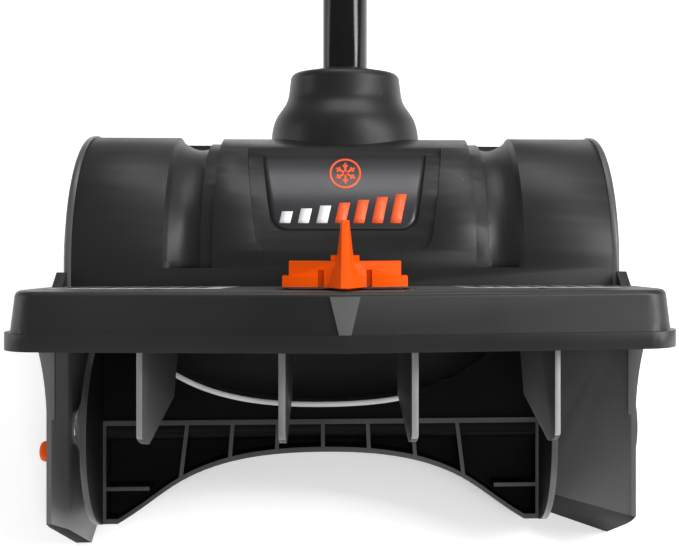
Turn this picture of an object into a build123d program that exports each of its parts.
"""Cordless single stage snow thrower of the power shovel kind, standing on its skids as in use.

The row frame is in millimetres: +X to the right seen from the front, +Y to the back, +Z up. The origin is
on the scraper's ground strip, under the shaft's middle. Sizes below are given in the shaft frame: x right,
y back, z up along the shaft, with its origin on the rotor's axis. The shaft leans back, so that frame is
the plane `head`.
"""

import os
from math import cos, radians, sin, sqrt, tan

from build123d import *

os.makedirs("parts", exist_ok=True)

# driving dimensions, in the shaft frame
LEAN = 45  # the shaft's lean from upright
ROTOR_R = 50  # blade ends and end discs
AXIS_HEIGHT = 52.5  # rotor axis above the ground
ROTOR_X0, ROTOR_X1 = -127, 104  # rotor's ends
HALF_WIDTH = 140  # outer faces of the side plates
PLATE_T = 4
DRUM_Y, DRUM_Z, DRUM_R = 42, 83, 70  # motor drum's axis and outer radius
SKIN = 3  # moulded wall
SHROUD_R = 58  # inner radius of the wall around the rotor
FRONT_Y = DRUM_Y - DRUM_R  # front of the drum
RIM_X = HALF_WIDTH - PLATE_T  # where drum and plates meet
HOOD_TOP, HOOD_LIP_TOP, HOOD_LIP_LOW = 74, 54.7, 46.7
HOOD_NOSE_Y, HOOD_CORNER_Y = -88, -73
VANE_Y, VANE_R, VANE_SWING = -62, 16, 25  # vane pivots, crank radius, swing each way
VANE_X = (-90.5, -28.5, 30.5, 95.5)
VANE_TOE = (-28, -5, 13, 28)
VANE_TOP = 66
WING_SWEEP = 13  # sweep of the lever's wings, in degrees
# the lever's fin at heights: half-width and y of its tip, half-width and y of its shoulder, y of its back
FIN_LEVELS = (
    (HOOD_TOP + 1.5, 2.0, -84.5, 8.7, -72, -56),
    (83, 1.9, -79.5, 5.8, -72, -56),
    (91, 1.8, -74.6, 3.5, -68.5, -56),
    (106.8, 1.5, -64.5, 1.7, -62.5, -58),
)
PIN_R, CRANK_PIN_R = 3, 2
LINK_Z0, LINK_Z1 = 69.0, 70.7
TUBE_Y, TUBE_R, TUBE_WALL = 60, 12.7, 1.5
TUBE_Z0, TUBE_JOIN, TUBE_Z1 = 118, 560, 1010
MOTOR_Y, MOTOR_Z, MOTOR_R = 42, 92, 27
ROTOR_PULLEY_R, MOTOR_PULLEY_R = 16, 6.4
BELT_X0, BELT_X1 = 143.2, 148.2
BELT_T = 2
PAD_X = 142  # face of the pad under the belt cover
SCREW_ANGLES = (95, 132, 170, 50, 15)  # shell screws round the drum's axis, from straight back
SCREW_RING = 63
COVER_SCREWS = [(share * MOTOR_Y, share * MOTOR_Z) for share in (0.35, 0.65)]
PLAY = 0.3  # clearance between bodies that move
RUN = 0.05  # radial clearance of a running fit
HANDLE_Z = 960
AUX_Z = 700
HOOD_HALF = 158.5
NOSE = 1  # half-width of the prow's blunt tip
SOCKET_R0 = 42.5
SKIN_STEPS = ((66.5, 0.6), (66.7, 3.5), (73, 3.5), (73.4, 6))  # pod's edge: x, depth below the drum's radius
ROTOR_MID = (ROTOR_X0 + ROTOR_X1) / 2
SHAFT_R = 5
BLADE_T, BLADE_DEPTH = 2.6, 16
BLADE_BACK = 7  # a blade's web stands this far behind the rotor's axis
# depth of a blade's hollowed edge below the axis, at distances from the rotor's middle
BLADE_EDGE = ((105, 49), (92, 40.5), (73, 27.5), (49, 18), (25, 14), (0, 13))
ROOT_Z = 4  # a blade's root flange stands this far over the axis
RIB_PITCH = 23.3
RIB_SPLAY = 2.3  # degrees per rib from the middle

SCRAPER_Y = 66  # scraper strip's place along the ground, in the shaft frame
GROUND = AXIS_HEIGHT * sqrt(2)  # the ground is z = y - GROUND in the shaft frame
STRIP_BACK = (2 * SCRAPER_Y - GROUND) / sqrt(2)  # strip behind the rotor's axis, along the ground
REAR_LOW = (SCRAPER_Y + 6, SCRAPER_Y + 6 - GROUND)  # side plates' rear lower corner

head = Plane(
    origin=(0, -STRIP_BACK, AXIS_HEIGHT),
    x_dir=(1, 0, 0),
    z_dir=(0, sin(radians(LEAN)), cos(radians(LEAN))),
)
UP = Axis(head.origin, head.z_dir)
BACK = Axis(head.origin, head.y_dir)


def at(x, y, z):
    """A point of the shaft frame, in the row frame."""
    return head.from_local_coords(Vector(x, y, z))


def across(z):
    """Sketch plane square to the shaft: local x right, local y back."""
    return head.offset(z)


def side(x):
    """Sketch plane seen from the right: local x back, local y up the shaft; it extrudes to the right."""
    return Plane(origin=at(x, 0, 0), x_dir=head.y_dir, z_dir=head.x_dir)


def face_on(y):
    """Sketch plane seen from the front: local x right, local y up the shaft; it extrudes to the front."""
    return Plane(origin=at(0, y, 0), x_dir=head.x_dir, z_dir=-head.y_dir)


def export(piece, name):
    """Labels one finished piece and writes its STEP file."""
    solid = piece.part
    solid.label = name
    export_step(solid, f"parts/{name}.step")


def rod(x0, x1, y, z, radius):
    """A cylinder along X, in the current part."""
    with BuildSketch(side(x0)) as disc:
        with Locations((y, z)):
            Circle(radius)
    return extrude(disc.sketch, amount=x1 - x0)


def drill(x0, x1, y, z, radius):
    """A round hole along X, in the current part."""
    with BuildSketch(side(x0)) as disc:
        with Locations((y, z)):
            Circle(radius)
    return extrude(disc.sketch, amount=x1 - x0, mode=Mode.SUBTRACT)


def belt_loop(x, extra):
    """Outline round both pulleys in the side plane at x, extra beyond their grooves."""
    with BuildSketch(side(x), mode=Mode.PRIVATE) as loop:
        Circle(ROTOR_PULLEY_R + extra)
        with Locations((MOTOR_Y, MOTOR_Z)):
            Circle(MOTOR_PULLEY_R + extra)
        make_hull()
    return loop.sketch


def on_drum(radius, angle):
    """A point round the drum's axis in a side plane, by its angle from straight back."""
    return DRUM_Y + radius * cos(radians(angle)), DRUM_Z + radius * sin(radians(angle))


def screw_ring(angles):
    """Places of shell screws in a side plane."""
    return [on_drum(SCREW_RING, angle) for angle in angles]


# ---------------------------------------------------------------- side plates
def plate_outline():
    """Side view of the housing: drum, straight front edge, ground edge and sloping back."""
    with BuildLine() as edge:
        Polyline((FRONT_Y, DRUM_Z), (FRONT_Y, -44), (10, 10 - GROUND), REAR_LOW, (111, 72.3))
        ThreePointArc((111, 72.3), (DRUM_Y, DRUM_Z + DRUM_R + 0.8), (FRONT_Y, DRUM_Z))
    make_face(edge.edges())


def leg(points, z_top):
    """A moulded leg: a plan outline run along the shaft, bevelled in front and cut off at the ground."""
    with BuildSketch(across(-75)) as plan:
        with BuildLine():
            Polyline(*points, close=True)
        make_face()
    extrude(plan.sketch, amount=75 + z_top)


def clear_front(points):
    """Cuts away the plan outline in front of a leg's face, below the hood."""
    with BuildSketch(across(-75)) as plan:
        with BuildLine():
            Polyline(*points, close=True)
        make_face()
    extrude(plan.sketch, amount=75 + 46, mode=Mode.SUBTRACT)


def trim_leg(part):
    """Cuts the part at the ground and bevels the leg's front lower corner."""
    split(bisect_by=Plane.XY, keep=Keep.TOP)
    slope_normal = (at(0, 18, 36) - at(0, 0, 0)).normalized()
    slope = Plane(origin=at(0, FRONT_Y, -44), x_dir=head.x_dir, z_dir=slope_normal)
    split(bisect_by=slope, keep=Keep.TOP)


with BuildPart() as left_side_plate:
    with BuildSketch(side(-HALF_WIDTH)):
        plate_outline()
    extrude(amount=PLATE_T)
    fillet(left_side_plate.edges().group_by(Axis.X)[0].filter_by(GeomType.CIRCLE), 2.5)
    left_leg = (
        *((-138, 34), (-131, 26), (-139.5, -18), (-144.5, -26)),
        *((-145.5, -28), (-148, -28), (-148, -22), (-140, 22), (-139, 34)),
    )
    leg(left_leg, 46)
    clear_front(((-144.5, -26), (-139.5, -18), (-131, 26), (-120, 26), (-120, -40), (-144.5, -40)))
    # the leg's outer rim widens where it meets the hood
    with BuildSketch(face_on(-23)):
        with BuildLine():
            Line((-147.9, 8), (-144, 8))
            Line((-144, 8), (-144, 46))
            Line((-144, 46), (-153, 46))
            ThreePointArc((-153, 46), (-149.4, 28), (-147.9, 8))
        make_face()
    extrude(amount=5)
    rod(-PLATE_T - 132, -129, 0, 0, 15)
    trim_leg(left_side_plate)
    drill(-150, -120, 0, 0, 11)
    drill(-150, -142.5, -18, -9.5, 2.5)
    for y, z in screw_ring(SCREW_ANGLES):
        drill(-145, -130, y, z, 1.8)
export(left_side_plate, "left_side_plate")

with BuildPart() as right_side_plate:
    with BuildSketch(side(RIM_X)):
        plate_outline()
    extrude(amount=PLATE_T)
    fillet(right_side_plate.edges().group_by(Axis.X)[-1].filter_by(GeomType.CIRCLE), 2.5)
    right_leg = (
        *((138, 40), (108.5, 40), (108.5, -9), (143, -26)),
        *((145.5, -28), (148, -28), (148, -20), (140, 22), (139, 40)),
    )
    leg(right_leg, 46)
    clear_front(((143, -26), (108.5, -9), (100, -9), (100, -40), (143, -40)))
    with BuildSketch(face_on(-23)):
        with BuildLine():
            Line((147.9, 8), (144, 8))
            Line((144, 8), (144, 46))
            Line((144, 46), (153, 46))
            ThreePointArc((153, 46), (149.4, 28), (147.9, 8))
        make_face()
    extrude(amount=5)
    # the leg's underside slopes in from a ledge across its face
    ledge_in, ledge_out, toe_point = at(108.5, -9, -36.2), at(144, -26, -43.7), at(136, 14, -60.2)
    underside = Plane(origin=ledge_in, z_dir=(ledge_out - ledge_in).cross(toe_point - ledge_in).normalized())
    split(bisect_by=underside, keep=Keep.TOP)
    trim_leg(right_side_plate)
    # the shroud passes behind the leg
    with BuildSketch(side(100)):
        with Locations((40, 30)):
            Rectangle(80, 60)
        Circle(SHROUD_R - 0.1, mode=Mode.SUBTRACT)
    extrude(amount=RIM_X - 100, mode=Mode.SUBTRACT)
    # pocket and pad for the belt drive
    extrude(belt_loop(PAD_X, 5.7), amount=12, mode=Mode.SUBTRACT)
    extrude(belt_loop(HALF_WIDTH, 5.5), amount=PAD_X - HALF_WIDTH)
    for y, z in COVER_SCREWS:
        rod(PAD_X, 149, y, z, 3.6)
        drill(PAD_X - 1, 149, y, z, 1.5)
    drill(100, 150, 0, 0, 11)
    drill(130, 150, MOTOR_Y, MOTOR_Z, 8)
    for y, z in screw_ring(SCREW_ANGLES):
        drill(130, 145, y, z, 1.8)
export(right_side_plate, "right_side_plate")

# ---------------------------------------------------------------- motor drum
def drum_section(sign):
    """Skin of one end of the drum from the pod to the side plate, with the neck's round trough."""
    steps = [(sign * x, DRUM_R - depth) for x, depth in SKIN_STEPS]
    with BuildLine() as skin:
        Polyline((0, DRUM_R - 0.6), *steps)
        lip = (sign * 89.5, DRUM_R - 2.4)
        Spline(steps[-1], (sign * 80, DRUM_R - 7), lip, tangents=((sign, -0.3), (sign, 0.7)))
        Polyline(lip, (sign * 91, DRUM_R), (sign * RIM_X, DRUM_R))
        Line((sign * RIM_X, DRUM_R), (sign * RIM_X, DRUM_R - SKIN))
        Polyline(
            (sign * RIM_X, DRUM_R - SKIN),
            (sign * 95, DRUM_R - SKIN),
            (sign * 84, DRUM_R - 10),
            (0, DRUM_R - 10),
            (0, DRUM_R - 0.6),
        )
    make_face(skin.edges())


drum_axis = Axis(at(0, DRUM_Y, DRUM_Z), (-1, 0, 0))
drum_front = Plane(origin=at(0, DRUM_Y, DRUM_Z), x_dir=(1, 0, 0), z_dir=-head.z_dir)


def pod_panel_points(inset):
    """Corners of the pod's recessed panel, in the front view."""
    return [
        (-56 + 1.15 * inset, 175),
        (-44 + 1.15 * inset, 91.4 + 1.6 * inset),
        (43 - 1.15 * inset, 91.4 + 1.6 * inset),
        (56 - 1.15 * inset, 175),
    ]


def screw_bosses(angles):
    """Bosses inside the skin for the shell screws at both ends."""
    for y, z in screw_ring(angles):
        for x0 in (-RIM_X, RIM_X - 16):
            rod(x0, x0 + 16, y, z, 4.5)
            drill(x0, x0 + 16, y, z, 1.5)


with BuildPart() as front_shell:
    for sign in (1, -1):
        with BuildSketch(drum_front):
            drum_section(sign)
        revolve(axis=drum_axis, revolution_arc=90 + 16)
    # straight skirt below the drum, down to the hood
    with BuildSketch(across(HOOD_LIP_TOP + 7)):
        with Locations((0, FRONT_Y + SKIN / 2)):
            Rectangle(2 * RIM_X, SKIN)
    extrude(amount=DRUM_Z - HOOD_LIP_TOP - 7)
    # recessed panel with a deeper flat for the label
    for inset, depth in ((0, DRUM_R - 3), (6, DRUM_R - 5)):
        with BuildSketch(face_on(FRONT_Y + 40)):
            with BuildLine():
                FilletPolyline(*pod_panel_points(inset), radius=8, close=True)
            make_face()
        panel_cut = extrude(amount=60, mode=Mode.PRIVATE)
        core = Solid.make_cylinder(depth, 200, Plane(at(-100, DRUM_Y, DRUM_Z), z_dir=(1, 0, 0)))
        add(panel_cut - core, mode=Mode.SUBTRACT)
    # opening for the shaft socket
    with BuildSketch(across(100)):
        with Locations((0, TUBE_Y)):
            Circle(SOCKET_R0 + 0.2)
    extrude(amount=70, mode=Mode.SUBTRACT)
    screw_bosses(SCREW_ANGLES[:3])
export(front_shell, "front_shell")

with BuildPart() as rear_shell:
    with BuildSketch(side(-RIM_X)):
        with BuildLine():
            start, mid = on_drum(DRUM_R, 90 - 16.2), on_drum(DRUM_R, 30)
            inner_start, inner_mid = on_drum(DRUM_R - SKIN, 90 - 16.2), on_drum(DRUM_R - SKIN, 30)
            ThreePointArc(start, mid, (111, 72.3))
            Polyline((111, 72.3), (77.2, 9), (74, 10.6), (107.6, 72.6))
            ThreePointArc((107.6, 72.6), inner_mid, inner_start)
            Line(inner_start, start)
        make_face()
    extrude(amount=2 * RIM_X)
    with BuildSketch(across(100)):
        with Locations((0, TUBE_Y)):
            Circle(SOCKET_R0 + 0.2)
    extrude(amount=70, mode=Mode.SUBTRACT)
    # cooling slots low on the back
    slot_way = (at(0, 30, -16) - at(0, 0, 0)).normalized()
    with BuildSketch(Plane(origin=at(0, 92, 40), x_dir=(1, 0, 0), z_dir=slot_way)):
        with GridLocations(9, 0, 9, 1):
            SlotOverall(26, 3.6, rotation=90)
    extrude(amount=20, both=True, mode=Mode.SUBTRACT)
    screw_bosses(SCREW_ANGLES[3:])
export(rear_shell, "rear_shell")

# ---------------------------------------------------------------- rotor shroud and scraper
with BuildPart() as rotor_shroud:
    with BuildSketch(side(-RIM_X)):
        with BuildLine():
            out = SHROUD_R + SKIN
            ThreePointArc((SHROUD_R, 0), (SHROUD_R / sqrt(2), SHROUD_R / sqrt(2)), (0, SHROUD_R))
            Polyline((0, SHROUD_R), (FRONT_Y + SKIN + 0.2, SHROUD_R), (FRONT_Y + SKIN + 0.2, out), (0, out))
            ThreePointArc((0, out), (out / sqrt(2), out / sqrt(2)), (out, 0))
            foot = (SCRAPER_Y + 4.2, SCRAPER_Y + 7.2 - GROUND)
            Polyline((out, 0), (72, -1), foot, (SCRAPER_Y - 3, -6), (SHROUD_R, 0))
        make_face()
    extrude(amount=2 * RIM_X)
    # seat for the scraper
    with BuildSketch(Plane.YZ.offset(-RIM_X)):
        with Locations((6, 1.1)):
            Rectangle(26, 4.2)
    extrude(amount=2 * RIM_X, mode=Mode.SUBTRACT)
export(rotor_shroud, "rotor_shroud")

with BuildPart() as scraper:
    with BuildSketch(Plane.YZ.offset(-130)):
        with BuildLine():
            Polyline((-6, 0), (6, 0), (6, 3.2), (-2.5, 3.2), (-6, 1), close=True)
        make_face()
    extrude(amount=236)
export(scraper, "scraper")

# ---------------------------------------------------------------- hood
def hood_outline(grow):
    """Plan of the hood: a shallow prow with a narrow flat in the middle and rounded corners."""
    nose_y, corner_x, corner_y = HOOD_NOSE_Y - grow, HOOD_HALF + grow, HOOD_CORNER_Y - grow
    with BuildLine() as outline:
        Line((-NOSE, nose_y), (NOSE, nose_y))
        for sign in (1, -1):
            FilletPolyline(
                (sign * NOSE, nose_y),
                (sign * corner_x, corner_y),
                (sign * (146 + grow), FRONT_Y),
                radius=14 + grow,
            )
        Line((-146 - grow, FRONT_Y), (146 + grow, FRONT_Y))
    make_face(outline.edges())


with BuildPart() as hood:
    with BuildSketch(across(HOOD_LIP_LOW + 1)):
        hood_outline(3)
    extrude(amount=HOOD_TOP - HOOD_LIP_LOW - 1, taper=7)
    top_edges = hood.faces().sort_by(UP)[-1].edges().filter_by(lambda e: e.length > 5)
    fillet(top_edges.filter_by(lambda e: e.center().Y < at(0, -31, HOOD_TOP).Y), 3)
    # raised keel down the middle of the prow, wide at the top and narrow at the lip
    with BuildSketch(face_on(-82)):
        with BuildLine():
            keel = ((-7, HOOD_TOP - 2), (7, HOOD_TOP - 2), (2.8, HOOD_LIP_TOP), (-2.8, HOOD_LIP_TOP))
            Polyline(*keel, close=True)
        make_face()
    extrude(amount=12)
    with BuildSketch(side(-20)):
        with BuildLine():
            Polyline((-91.3, 50), (-88.3, HOOD_TOP + 1), (-100, HOOD_TOP + 1), (-100, 50), close=True)
        make_face()
    extrude(amount=40, mode=Mode.SUBTRACT)
    with BuildSketch(across(HOOD_LIP_LOW)):
        hood_outline(5)
    extrude(amount=HOOD_LIP_TOP - HOOD_LIP_LOW)
    # open underneath and at the back, where the snow passes under the drum
    with BuildSketch(across(HOOD_LIP_LOW)):
        hood_outline(-0.6)
        with Locations((0, FRONT_Y - 8)):
            Rectangle(2 * 143, 20)
    extrude(amount=HOOD_TOP - HOOD_LIP_LOW - SKIN, taper=6, mode=Mode.SUBTRACT)
    with BuildSketch(side(-143)):
        with Locations((FRONT_Y, (HOOD_LIP_LOW + HOOD_TOP - SKIN) / 2)):
            Rectangle(24, HOOD_TOP - SKIN - HOOD_LIP_LOW)
    extrude(amount=286, mode=Mode.SUBTRACT)
    with BuildSketch(across(HOOD_TOP - 8)):
        with Locations(*[(x, VANE_Y) for x in (*VANE_X, 0)]):
            Circle(PIN_R + RUN)
    extrude(amount=20, mode=Mode.SUBTRACT)
    for x0 in (-143, 138):
        with BuildSketch(side(x0)):
            with BuildLine():
                Polyline((FRONT_Y, HOOD_TOP), (FRONT_Y - 10, HOOD_TOP), (FRONT_Y, HOOD_TOP + 7), close=True)
            make_face()
        extrude(amount=5)
    # arc of detents under the lever
    with BuildSketch(across(HOOD_TOP)):
        with BuildLine():
            inner = CenterArc((0, VANE_Y), 26, 50, 80)
            outer = CenterArc((0, VANE_Y), 29, 50, 80)
            Line(inner @ 0, outer @ 0)
            Line(inner @ 1, outer @ 1)
        make_face()
    extrude(amount=1.2)
export(hood, "hood")


# ---------------------------------------------------------------- rotor
def blade_outline(shrink):
    """One blade from the rotor's axis to its hollowed edge, in the front view."""
    half = (ROTOR_X1 - ROTOR_X0) / 2 - 2 - shrink
    left = [(ROTOR_MID - x, -depth + shrink) for x, depth in BLADE_EDGE]
    right = [(ROTOR_MID + x, -depth + shrink) for x, depth in BLADE_EDGE[-2::-1]]
    with BuildLine() as edge:
        Spline(*left, *right)
        Polyline(right[-1], (ROTOR_MID + half, right[-1][1]), (ROTOR_MID + half, ROOT_Z - shrink))
        Line((ROTOR_MID + half, ROOT_Z - shrink), (ROTOR_MID - half, ROOT_Z - shrink))
        Polyline((ROTOR_MID - half, ROOT_Z - shrink), (ROTOR_MID - half, left[0][1]), left[0])
    make_face(edge.edges())


with BuildPart() as rotor:
    # lower blade: a pan with its web at the back, a rim along its edge and ribs across
    with BuildSketch(face_on(BLADE_BACK)) as web:
        blade_outline(0)
    extrude(web.sketch, amount=BLADE_DEPTH)
    with BuildSketch(face_on(BLADE_BACK - BLADE_T)) as hollow:
        blade_outline(BLADE_T)
        for i in range(-3, 4):
            # the ribs splay a little towards the edge
            splay = i * RIB_SPLAY
            with Locations((ROTOR_MID + i * RIB_PITCH + 30 * tan(radians(splay)), -30)):
                Rectangle(2, 80, rotation=splay, mode=Mode.SUBTRACT)
        for sign in (1, -1):
            with Locations((ROTOR_MID + sign * 101, -31)):
                Rectangle(24, 2, mode=Mode.SUBTRACT)
    extrude(hollow.sketch, amount=BLADE_DEPTH, mode=Mode.SUBTRACT)
    # the web stops short of the axis, so the other blade's pockets stay open
    with BuildSketch(face_on(BLADE_BACK + 1)) as gap:
        with Locations((ROTOR_MID, -BLADE_T / 2)):
            Rectangle(ROTOR_X1 - ROTOR_X0 - 12, 2 * ROOT_Z - BLADE_T)
    extrude(gap.sketch, amount=BLADE_T + 1.4, mode=Mode.SUBTRACT)
    # the upper blade is the same, half a turn round the axis
    half_turn = rotor.part.rotate(Axis(head.origin, (1, 0, 0)), 180)
    add(half_turn)
    for x in (ROTOR_X0, ROTOR_X1 - 3):
        with BuildSketch(side(x)) as disc:
            Circle(ROTOR_R)
        extrude(disc.sketch, amount=3)
    rod(ROTOR_X0, ROTOR_X1, 0, 0, 7.5)
    drill(ROTOR_X0 - 1, ROTOR_X1 + 1, 0, 0, SHAFT_R)
export(rotor, "rotor")

with BuildPart() as rotor_shaft:
    rod(-139.5, 148.9, 0, 0, SHAFT_R)
    rod(ROTOR_X0 - 1.5, ROTOR_X0, 0, 0, 8)
    rod(ROTOR_X1, ROTOR_X1 + 2, 0, 0, 8)
export(rotor_shaft, "rotor_shaft")

with BuildPart() as rotor_bearings:
    for x0, x1 in ((-137, ROTOR_X0 - 2), (ROTOR_X1 + 4, 120)):
        rod(x0, x1, 0, 0, 11)
        drill(x0, x1, 0, 0, SHAFT_R + RUN)
export(rotor_bearings, "rotor_bearings")

with BuildPart() as leg_bolt_cap:
    with BuildSketch(side(-148.2)) as cap:
        with Locations((-18, -9.5)):
            Circle(5.2)
    extrude(cap.sketch, amount=-5)
    fillet(leg_bolt_cap.edges().group_by(Axis.X)[0], 2.6)
    with BuildSketch(side(-148.2)) as stem:
        with Locations((-18, -9.5)):
            Circle(2.4)
    extrude(stem.sketch, amount=4)
export(leg_bolt_cap, "leg_bolt_cap")

# ---------------------------------------------------------------- belt drive and motor
def pulley(y, z, radius, bore):
    """A flanged pulley on the shaft at y, z."""
    with BuildPart() as wheel:
        rod(BELT_X0 - 0.8, BELT_X1 + 0.8, y, z, radius + 1.6)
        with BuildSketch(side(BELT_X0)) as groove:
            with Locations((y, z)):
                Circle(radius + 5)
                Circle(radius, mode=Mode.SUBTRACT)
        extrude(groove.sketch, amount=BELT_X1 - BELT_X0, mode=Mode.SUBTRACT)
        drill(BELT_X0 - 1, BELT_X1 + 1, y, z, bore)
    return wheel


export(pulley(0, 0, ROTOR_PULLEY_R, SHAFT_R), "rotor_pulley")
export(pulley(MOTOR_Y, MOTOR_Z, MOTOR_PULLEY_R, 3), "motor_pulley")

with BuildPart() as drive_belt:
    extrude(belt_loop(BELT_X0 + 0.5, PLAY + BELT_T), amount=BELT_X1 - BELT_X0 - 1)
    extrude(belt_loop(BELT_X0 + 0.5, PLAY), amount=BELT_X1 - BELT_X0 - 1, mode=Mode.SUBTRACT)
export(drive_belt, "drive_belt")

with BuildPart() as belt_cover:
    extrude(belt_loop(PAD_X, 5.5), amount=9)
    fillet(belt_cover.edges().group_by(Axis.X)[-1], 2.5)
    extrude(belt_loop(PAD_X, 3.5), amount=7, mode=Mode.SUBTRACT)
    for y, z in COVER_SCREWS:
        drill(148, 152, y, z, 1.8)
export(belt_cover, "belt_cover")

with BuildPart() as cover_screws:
    for y, z in COVER_SCREWS:
        rod(PAD_X + 1, 151, y, z, 1.5)
        rod(151, 152.6, y, z, 3)
        drill(151.6, 152.6, y, z, 1.2)
export(cover_screws, "cover_screws")

with BuildPart() as motor:
    rod(-42, 48, MOTOR_Y, MOTOR_Z, MOTOR_R)
    chamfer(motor.edges().filter_by(GeomType.CIRCLE), 1.5)
    rod(48, 53, MOTOR_Y, MOTOR_Z, 9)
    rod(-47, -42, MOTOR_Y, MOTOR_Z, 9)
    drill(-50, 60, MOTOR_Y, MOTOR_Z, 3 + RUN)
    drill(-40, 46, MOTOR_Y, MOTOR_Z, 17)
export(motor, "motor")

with BuildPart() as armature:
    rod(-49, 148.9, MOTOR_Y, MOTOR_Z, 3)
    rod(-26, 36, MOTOR_Y, MOTOR_Z, 15.5)
    rod(-38, -29, MOTOR_Y, MOTOR_Z, 9)
export(armature, "armature")

with BuildPart() as motor_bracket:
    for x in (48, -45):
        with BuildSketch(side(x)) as ear:
            with Locations((MOTOR_Y, MOTOR_Z)):
                Rectangle(44, 48)
                Circle(9, mode=Mode.SUBTRACT)
        extrude(ear.sketch, amount=3)
export(motor_bracket, "motor_bracket")

with BuildPart() as motor_bush:
    rod(130, PAD_X, MOTOR_Y, MOTOR_Z, 8)
    drill(129, PAD_X + 1, MOTOR_Y, MOTOR_Z, 3 + RUN)
export(motor_bush, "motor_bush")

# ---------------------------------------------------------------- vanes, link and lever


def crank(x):
    """Pivot pin, crank arm and crank pin under the hood's top, for the pivot at x."""
    with BuildSketch(across(VANE_TOP)) as arm:
        with Locations((x, VANE_Y + VANE_R / 2)):
            SlotCenterToCenter(VANE_R, 8, rotation=90)
    extrude(arm.sketch, amount=2.4)
    with BuildSketch(across(VANE_TOP)) as pivot:
        with Locations((x, VANE_Y)):
            Circle(PIN_R)
    extrude(pivot.sketch, amount=HOOD_TOP - VANE_TOP + 0.4)
    with BuildSketch(across(VANE_TOP + 2.4)) as pin:
        with Locations((x, VANE_Y + VANE_R)):
            Circle(CRANK_PIN_R)
    extrude(pin.sketch, amount=LINK_Z1 - VANE_TOP - 2.4)


def vane_blade():
    """Side view of a vane about its pivot: straight front edge, rounded toe and rising lower edge."""
    with BuildLine() as edge:
        Polyline((-10, VANE_TOP), (-10, 8))
        ThreePointArc((-10, 8), (-8.4, 3.6), (-4, 2.4))
        Polyline((-4, 2.4), (15, 22), (18, 44), (18, VANE_TOP), (-10, VANE_TOP))
    make_face(edge.edges())


def make_vane(x, toe):
    """One steering vane with its pin and crank."""
    with BuildPart() as vane:
        blade_plane = Plane(
            origin=at(x, VANE_Y, 0),
            x_dir=(at(-sin(radians(toe)), cos(radians(toe)), 0) - at(0, 0, 0)),
            z_dir=(at(cos(radians(toe)), sin(radians(toe)), 0) - at(0, 0, 0)),
        )
        with BuildSketch(blade_plane) as blade:
            vane_blade()
        extrude(blade.sketch, amount=1.7, both=True)
        crank(x)
    return vane


for number, (pivot_x, toe) in enumerate(zip(VANE_X, VANE_TOE), start=1):
    export(make_vane(pivot_x, toe), f"vane_{number}")

with BuildPart() as vane_link:
    with BuildSketch(across(LINK_Z0)) as bar:
        with Locations((0, VANE_Y + VANE_R - 0.6)):
            RectangleRounded(2 * VANE_X[-1] + 16, 11, 3)
            with Locations(*[(x, 0) for x in (*VANE_X, 0)]):
                SlotOverall(7.4, 2 * CRANK_PIN_R + 0.8, rotation=90, mode=Mode.SUBTRACT)
    extrude(bar.sketch, amount=LINK_Z1 - LINK_Z0)
export(vane_link, "vane_link")

with BuildPart() as direction_lever:
    crank(0)
    base_z = HOOD_TOP + 1.5
    with BuildSketch(across(base_z)) as hub:
        with Locations((0, VANE_Y)):
            Circle(11)
    extrude(hub.sketch, amount=11)
    with BuildSketch(across(base_z)) as post:
        with Locations((0, VANE_Y + 2)):
            Rectangle(13.4, 14)
    extrude(post.sketch, amount=14.5)
    # wings, swept back, in two steps
    for half, z0, z1, depth in ((29.5, base_z, base_z + 5, 12), (26.4, base_z + 5, base_z + 12, 8)):
        front, sweep = VANE_Y - 6 - depth / 2, half * tan(radians(WING_SWEEP))
        with BuildSketch(across(z0)) as wing:
            with BuildLine():
                right = ((half, front + sweep), (half, front + sweep + depth))
                left = [(-x, y) for x, y in right[::-1]]
                Polyline((0, front), *right, (0, front + depth), *left, close=True)
            make_face()
        extrude(wing.sketch, amount=z1 - z0)
    with BuildSketch(across(base_z)) as notch:
        with Locations((11.3, VANE_Y - 10), (-11.3, VANE_Y - 10)):
            Rectangle(2.6, 14)
    extrude(notch.sketch, amount=8, mode=Mode.SUBTRACT)
    # thumb fin: broad at its foot, narrowing to its tip
    levels = []
    for z, tip, front, flank, shoulder, rear in FIN_LEVELS:
        with BuildSketch(across(z)) as level:
            with BuildLine():
                right = ((tip, front), (flank, shoulder), (flank + 0.3, rear))
                Polyline(*right, *[(-x, y) for x, y in right[::-1]], close=True)
            make_face()
        levels.append(level.sketch)
    loft(levels, ruled=True)
    with BuildSketch(across(HOOD_TOP + 0.2)) as collar:
        with Locations((0, VANE_Y)):
            Circle(6)
    extrude(collar.sketch, amount=1.3)
export(direction_lever, "direction_lever")

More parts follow.
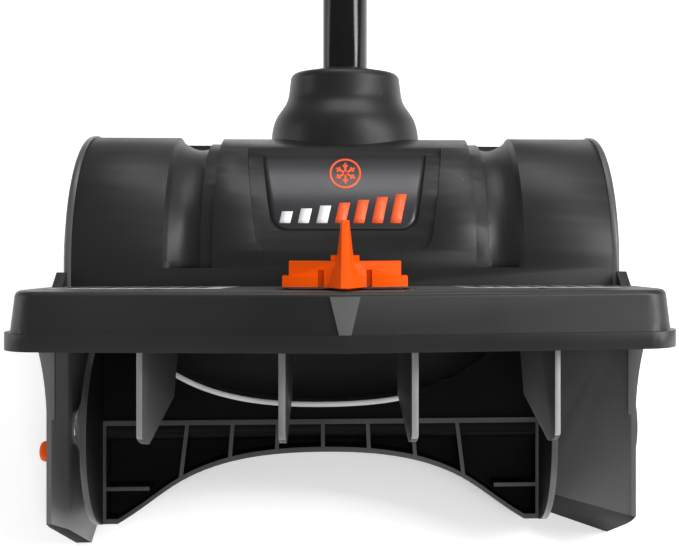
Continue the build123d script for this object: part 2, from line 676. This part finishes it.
# ---------------------------------------------------------------- shaft
with BuildPart() as shaft_socket:
    with BuildSketch(Plane(origin=at(0, TUBE_Y, 0), x_dir=(1, 0, 0), z_dir=-head.y_dir)) as half:
        with BuildLine():
            Polyline((0, 112), (SOCKET_R0 - 4, 112), (SOCKET_R0, 116), (SOCKET_R0, 150))
            Spline((SOCKET_R0, 150), (39, 166), (34, 173.5), (31.2, 187), tangents=((-0.1, 1), (-0.15, 1)))
            ThreePointArc((31.2, 187), (30, 190.2), (27, 191.5))
            Polyline((27, 191.5), (14.6, 194), (0, 194), (0, 112))
        make_face()
    revolve(half.sketch, axis=Axis(at(0, TUBE_Y, 0), head.z_dir))
    with BuildSketch(across(116)) as seat:
        with Locations((0, TUBE_Y)):
            Circle(TUBE_R)
    extrude(seat.sketch, amount=90, mode=Mode.SUBTRACT)
    # hollow round the seat, and room for the motor below
    with BuildSketch(across(110)) as hollow:
        with Locations((0, TUBE_Y)):
            Circle(SOCKET_R0 - 5)
            Circle(TUBE_R + 3, mode=Mode.SUBTRACT)
    extrude(hollow.sketch, amount=50, mode=Mode.SUBTRACT)
    with BuildSketch(side(-60)) as motor_room:
        with Locations((MOTOR_Y, MOTOR_Z)):
            Circle(MOTOR_R + 1)
    extrude(motor_room.sketch, amount=120, mode=Mode.SUBTRACT)
export(shaft_socket, "shaft_socket")


def tube(z0, z1):
    """A length of the shaft's steel tube."""
    with BuildPart() as length:
        with BuildSketch(across(z0)) as ring:
            with Locations((0, TUBE_Y)):
                Circle(TUBE_R)
                Circle(TUBE_R - TUBE_WALL, mode=Mode.SUBTRACT)
        extrude(ring.sketch, amount=z1 - z0)
    return length


export(tube(TUBE_Z0 + 8, TUBE_JOIN), "lower_tube")
export(tube(TUBE_JOIN, TUBE_Z1), "upper_tube")


def round_about_tube(z0, z1, radius, bore=TUBE_R, mode=Mode.ADD):
    """A round sleeve about the shaft, in the current part."""
    with BuildSketch(across(z0)) as ring:
        with Locations((0, TUBE_Y)):
            Circle(radius)
            if bore:
                Circle(bore, mode=Mode.SUBTRACT)
    return extrude(ring.sketch, amount=z1 - z0, mode=mode)


with BuildPart() as tube_coupler:
    round_about_tube(TUBE_JOIN - 45, TUBE_JOIN + 45, 18)
    fillet(tube_coupler.edges().filter_by(GeomType.CIRCLE).group_by(UP)[-1].sort_by(SortBy.RADIUS)[-1], 3)
    fillet(tube_coupler.edges().filter_by(GeomType.CIRCLE).group_by(UP)[0].sort_by(SortBy.RADIUS)[-1], 3)
    # threaded boss for the clamp knob, on the back
    with BuildSketch(face_on(TUBE_Y + 15)) as boss:
        with Locations((0, TUBE_JOIN)):
            RectangleRounded(20, 40, 5)
    extrude(boss.sketch, amount=-9)
    with BuildSketch(face_on(TUBE_Y + 30)) as thread:
        with Locations((0, TUBE_JOIN)):
            Circle(3 + RUN)
    extrude(thread.sketch, amount=16, mode=Mode.SUBTRACT)
    round_about_tube(TUBE_JOIN - 50, TUBE_JOIN + 50, TUBE_R, bore=0, mode=Mode.SUBTRACT)
export(tube_coupler, "tube_coupler")


def clamp_knob(origin, outward, reach):
    """A lobed knob with its screw; outward points away from the clamp."""
    with BuildPart() as knob:
        plane = Plane(origin=origin, z_dir=outward)
        with BuildSketch(plane) as grip:
            Circle(15)
            with PolarLocations(19.5, 6):
                Circle(6, mode=Mode.SUBTRACT)
        extrude(grip.sketch, amount=13)
        fillet(knob.edges().group_by(Axis(origin, outward))[-1], 1.2)
        with BuildSketch(plane) as neck:
            Circle(7)
        extrude(neck.sketch, amount=-1.6)
        with BuildSketch(plane) as screw:
            Circle(3)
        extrude(screw.sketch, amount=-reach)
    return knob


coupler_knob = clamp_knob(at(0, TUBE_Y + 26, TUBE_JOIN), head.y_dir, 12)
export(coupler_knob, "coupler_knob")

# ---------------------------------------------------------------- front hand grip
AUX_PIVOT_Y = TUBE_Y - 27
with BuildPart() as grip_clamp:
    round_about_tube(AUX_Z - 18, AUX_Z + 18, 18, bore=TUBE_R + RUN)
    with BuildSketch(side(-11)) as lug:
        with BuildLine():
            Polyline((TUBE_Y - 10, AUX_Z - 14), (AUX_PIVOT_Y, AUX_Z - 11))
            ThreePointArc((AUX_PIVOT_Y, AUX_Z - 11), (AUX_PIVOT_Y - 11, AUX_Z), (AUX_PIVOT_Y, AUX_Z + 11))
            Polyline((AUX_PIVOT_Y, AUX_Z + 11), (TUBE_Y - 10, AUX_Z + 14), (TUBE_Y - 10, AUX_Z - 14))
        make_face()
    extrude(lug.sketch, amount=22)
    round_about_tube(AUX_Z - 20, AUX_Z + 20, TUBE_R + RUN, bore=0, mode=Mode.SUBTRACT)
    drill(-20, 20, AUX_PIVOT_Y, AUX_Z, 3 + RUN)
export(grip_clamp, "grip_clamp")

GRIP_HALF, GRIP_REACH, GRIP_R = 62, 105, 11
grip_tip_y = AUX_PIVOT_Y - GRIP_REACH
# right half of the front grip's outline and of its opening: x, y from the pivot
BAIL_OUT = ((20.5, 9), (20.5, -19), (GRIP_HALF + 5, -46), (GRIP_HALF + 5, -GRIP_REACH - 6))
BAIL_IN = ((11.2, 20), (11.2, -24), (GRIP_HALF - 5, -51), (GRIP_HALF - 5, -GRIP_REACH + 6))


def bail_loop(corners):
    """A rounded loop, symmetric about the shaft, through the corners given for its right half."""
    right = [(x, AUX_PIVOT_Y + y) for x, y in corners]
    with BuildLine() as edge:
        FilletPolyline(*right, *[(-x, y) for x, y in right[::-1]], radius=7, close=True)
    return edge.edges()


with BuildPart() as front_grip:
    with BuildSketch(across(AUX_Z - 5)) as bail:
        make_face(bail_loop(BAIL_OUT))
        make_face(bail_loop(BAIL_IN), mode=Mode.SUBTRACT)
    extrude(bail.sketch, amount=10)
    fillet(front_grip.faces().filter_by(UP).edges(), 3)
    for x0 in (-21, 11.2):
        rod(x0, x0 + 9.8, AUX_PIVOT_Y, AUX_Z, 10)
    with BuildSketch(side(-GRIP_HALF + 14)) as handle_bar:
        with Locations((grip_tip_y, AUX_Z)):
            Circle(8)
    extrude(handle_bar.sketch, amount=2 * GRIP_HALF - 28)
    # room for the clamp's lug between the eyes
    with BuildSketch(side(-11.2)) as lug_room:
        with Locations((AUX_PIVOT_Y, AUX_Z)):
            Circle(12)
    extrude(lug_room.sketch, amount=22.4, mode=Mode.SUBTRACT)
    drill(-30, 30, AUX_PIVOT_Y, AUX_Z, 3 + RUN)
    with BuildSketch(side(-21.2)) as nut_seat:
        with Locations((AUX_PIVOT_Y, AUX_Z)):
            Circle(5.3)
    extrude(nut_seat.sketch, amount=4, mode=Mode.SUBTRACT)
export(front_grip, "front_grip")

with BuildPart() as front_grip_sleeve:
    with BuildSketch(side(-GRIP_HALF + 14)) as sleeve:
        with Locations((grip_tip_y, AUX_Z)):
            Circle(GRIP_R + 3)
            Circle(8, mode=Mode.SUBTRACT)
    extrude(sleeve.sketch, amount=2 * GRIP_HALF - 28)
    chamfer(front_grip_sleeve.edges().filter_by(GeomType.CIRCLE).sort_by(SortBy.RADIUS)[-2:], 1.5)
export(front_grip_sleeve, "front_grip_sleeve")

grip_knob = clamp_knob(at(22.8, AUX_PIVOT_Y, AUX_Z), head.x_dir, 43.5)
export(grip_knob, "grip_knob")

with BuildPart() as grip_nut:
    with BuildSketch(side(-20.9)) as hexagon:
        with Locations((AUX_PIVOT_Y, AUX_Z)):
            RegularPolygon(5, 6)
            Circle(3 + RUN, mode=Mode.SUBTRACT)
    extrude(hexagon.sketch, amount=3.6)
export(grip_nut, "grip_nut")

# ---------------------------------------------------------------- rear handle
H = TUBE_Y  # the handle is drawn about the tube
HALF_GRIP = 16  # half the handle's width
BASE_Z, FOOT_Z = 1136, 1150
OPENING = ((H + 10, 1002), (H + 45, 1002), (H + 45, 1106), (H + 10, 1106))
HANDLE_SCREWS = ((H + 28, 990), (H + 51, 1056), (H + 50, 1122), (H - 13, 1122))


def handle_outline():
    """Side view of the D handle with its finger opening."""
    with BuildLine() as edge:
        FilletPolyline(
            (H - 17, HANDLE_Z),
            (H - 20, 996),
            (H - 20, 1108),
            (H - 19, FOOT_Z),
            (H + 62, FOOT_Z),
            (H + 57, 1112),
            (H + 57, 996),
            (H + 17, HANDLE_Z),
            radius=9,
            close=True,
        )
    make_face(edge.edges())
    with BuildLine() as hole:
        FilletPolyline(*OPENING, radius=11, close=True)
    make_face(hole.edges(), mode=Mode.SUBTRACT)


def handle_half(sign):
    """One moulded half of the handle; sign is its side."""
    with BuildPart() as half:
        with BuildSketch(side(0)) as body:
            handle_outline()
        extrude(body.sketch, amount=sign * HALF_GRIP)
        outer = half.faces().sort_by(Axis.X)[-1 if sign > 0 else 0]
        fillet(outer.edges(), 5)
        # widened foot that carries the battery rails
        with BuildSketch(across(BASE_Z)) as foot:
            with Locations((sign * 13, H + 21)):
                Rectangle(26, 82)
        extrude(foot.sketch, amount=FOOT_Z - BASE_Z)
        for half_width, z0, z1 in ((20, FOOT_Z, 1154), (26, 1154, 1158)):
            with BuildSketch(across(z0)) as rail:
                with Locations((sign * half_width / 2, H + 21)):
                    Rectangle(half_width, 78)
            extrude(rail.sketch, amount=z1 - z0)
        # pockets for the trigger and switch, and for the electronics
        for y0, y1, z0, z1 in ((H - 17, H + 7, 1012, 1104), (H - 8, H + 42, 1112, 1132)):
            with BuildSketch(side(0)) as pocket:
                with Locations(((y0 + y1) / 2, (z0 + z1) / 2)):
                    RectangleRounded(y1 - y0, z1 - z0, 3)
            extrude(pocket.sketch, amount=sign * (HALF_GRIP - 3), mode=Mode.SUBTRACT)
        with BuildSketch(side(0)) as bearing:
            with Locations((H, 1017)):
                Circle(5)
                Circle(2 + RUN, mode=Mode.SUBTRACT)
        extrude(bearing.sketch.moved(Location((sign * 7, 0, 0))), amount=sign * (HALF_GRIP - 8))
        with BuildSketch(side(0)) as slot:
            with Locations((H + 9, 1026)):
                Rectangle(8, 36)
        extrude(slot.sketch, amount=sign * 6, mode=Mode.SUBTRACT)
        with BuildSketch(side(0)) as button_slot:
            with Locations((H - 19, 1032)):
                Rectangle(6, 18 + 2 * PLAY)
        extrude(button_slot.sketch, amount=sign * (6 + PLAY), mode=Mode.SUBTRACT)
        with BuildSketch(across(HANDLE_Z - 1)) as socket:
            with Locations((0, TUBE_Y)):
                Circle(TUBE_R)
        extrude(socket.sketch, amount=TUBE_Z1 - HANDLE_Z + 1, mode=Mode.SUBTRACT)
        for y, z in HANDLE_SCREWS:
            drill(-HALF_GRIP + 2, HALF_GRIP - 2, y, z, 1.5)
            if sign < 0:
                drill(-HALF_GRIP - 1, -HALF_GRIP + 2, y, z, 3.2)
    return half


left_handle = handle_half(-1)
right_handle = handle_half(1)
export(left_handle, "left_handle")
export(right_handle, "right_handle")

with BuildPart() as handle_screws:
    for y, z in HANDLE_SCREWS:
        rod(-HALF_GRIP + 2, HALF_GRIP - 3, y, z, 1.5)
        rod(-HALF_GRIP + 0.2, -HALF_GRIP + 2, y, z, 3)
        drill(-HALF_GRIP, -HALF_GRIP + 1, y, z, 1.2)
export(handle_screws, "handle_screws")

with BuildPart() as grip_overlay:
    with BuildSketch(across(1048)) as wrap:
        with Locations((0, H - 9)):
            RectangleRounded(2 * HALF_GRIP + 3, 25, 5.5)
    extrude(wrap.sketch, amount=56)
    add(left_handle.part, mode=Mode.SUBTRACT)
    add(right_handle.part, mode=Mode.SUBTRACT)
    with BuildSketch(across(1040)) as inside:
        with Locations((0, H - 4.5)):
            Rectangle(2 * HALF_GRIP - 5, 25)
        with Locations((0, H + 10)):
            Rectangle(60, 16)
    extrude(inside.sketch, amount=70, mode=Mode.SUBTRACT)
export(grip_overlay, "grip_overlay")

with BuildPart() as trigger:
    rod(-12, 12, H, 1017, 2)
    with BuildSketch(side(-5.5)) as blade:
        with BuildLine():
            Polyline((H - 4, 1014), (H + 4, 1012.5), (H + 12, 1011), (H + 19, 1015))
            Spline((H + 19, 1015), (H + 17.5, 1027), (H + 21, 1040), tangents=((-0.3, 1), (0.5, 1)))
            Polyline((H + 21, 1040), (H + 11, 1040), (H - 1, 1040), (H - 4, 1034), (H - 4, 1014))
        make_face()
    extrude(blade.sketch, amount=11)
export(trigger, "trigger")

with BuildPart() as lock_button:
    with BuildSketch(face_on(H - 16)) as cap:
        with Locations((0, 1032)):
            RectangleRounded(12, 18, 3)
    extrude(cap.sketch, amount=7)
    chamfer(lock_button.faces().sort_by(BACK)[0].edges(), 0.8)
    with BuildSketch(face_on(H - 14)) as flange:
        with Locations((0, 1032)):
            Rectangle(17, 22)
    extrude(flange.sketch, amount=2.7)
export(lock_button, "lock_button")

with BuildPart() as power_switch:
    with BuildSketch(side(-8)) as body:
        with Locations((H - 5, 1068)):
            Rectangle(15, 24)
    extrude(body.sketch, amount=16)
    with BuildSketch(side(-3)) as plunger:
        with Locations((H - 2, 1053.5)):
            Rectangle(5, 5)
    extrude(plunger.sketch, amount=6)
export(power_switch, "power_switch")

with BuildPart() as control_board:
    with BuildSketch(across(1118)) as board:
        with Locations((0, H + 17)):
            Rectangle(24, 44)
    extrude(board.sketch, amount=1.6)
    with BuildSketch(across(1119.6)) as chips:
        with Locations((-4, H + 8), (5, H + 20), (-3, H + 30)):
            Rectangle(8, 8)
    extrude(chips.sketch, amount=4)
export(control_board, "control_board")

# ---------------------------------------------------------------- battery
PACK_Y0, PACK_Y1, PACK_Z0, PACK_Z1 = H - 30, H + 66, FOOT_Z + PLAY, 1206
with BuildPart() as battery_pack:
    with BuildSketch(across(PACK_Z0)) as case:
        with Locations((0, (PACK_Y0 + PACK_Y1) / 2)):
            RectangleRounded(72, PACK_Y1 - PACK_Y0, 8)
    extrude(case.sketch, amount=PACK_Z1 - PACK_Z0)
    fillet(battery_pack.edges().group_by(UP)[-1], 6)
    # channel for the handle's rails, open at the back
    for half_width, z0, z1 in ((20.4, PACK_Z0, 1154), (26.4, 1154 - PLAY, 1158.4)):
        with BuildSketch(across(z0)) as channel:
            with Locations((0, H + 41 - 0.2)):
                Rectangle(2 * half_width, 118)
        extrude(channel.sketch, amount=z1 - z0, mode=Mode.SUBTRACT)
    with BuildSketch(across(1162)) as cells_room:
        with Locations((0, (PACK_Y0 + PACK_Y1) / 2 + 5)):
            Rectangle(66, PACK_Y1 - PACK_Y0 - 16)
    extrude(cells_room.sketch, amount=40, mode=Mode.SUBTRACT)
    with BuildSketch(face_on(PACK_Y0 + 6)) as button_well:
        with Locations((0, 1178)):
            Rectangle(24 + 2 * PLAY, 12 + 2 * PLAY)
    extrude(button_well.sketch, amount=10, mode=Mode.SUBTRACT)
export(battery_pack, "battery_pack")

with BuildPart() as battery_cells:
    for z in (1172.2, 1191.6):
        for i in range(4):
            with BuildSketch(side(-32.4)) as cell:
                with Locations((PACK_Y0 + 26 + 19.2 * i, z)):
                    Circle(9.2)
            extrude(cell.sketch, amount=64.8)
export(battery_cells, "battery_cells")

with BuildPart() as battery_release:
    with BuildSketch(face_on(PACK_Y0 + 3)) as cap:
        with Locations((0, 1178)):
            RectangleRounded(24, 12, 3)
    extrude(cap.sketch, amount=5)
    chamfer(battery_release.faces().sort_by(BACK)[0].edges(), 1)
export(battery_release, "battery_release")

# ---------------------------------------------------------------- shell screws
with BuildPart() as shell_screws:
    for y, z in screw_ring(SCREW_ANGLES):
        for sign in (-1, 1):
            x = sign * HALF_WIDTH
            rod(x, x - sign * 16, y, z, 1.5)
            rod(x, x + sign * 1.8, y, z, 3.4)
            drill(x + sign * 0.8, x + sign * 2, y, z, 1.4)
export(shell_screws, "shell_screws")
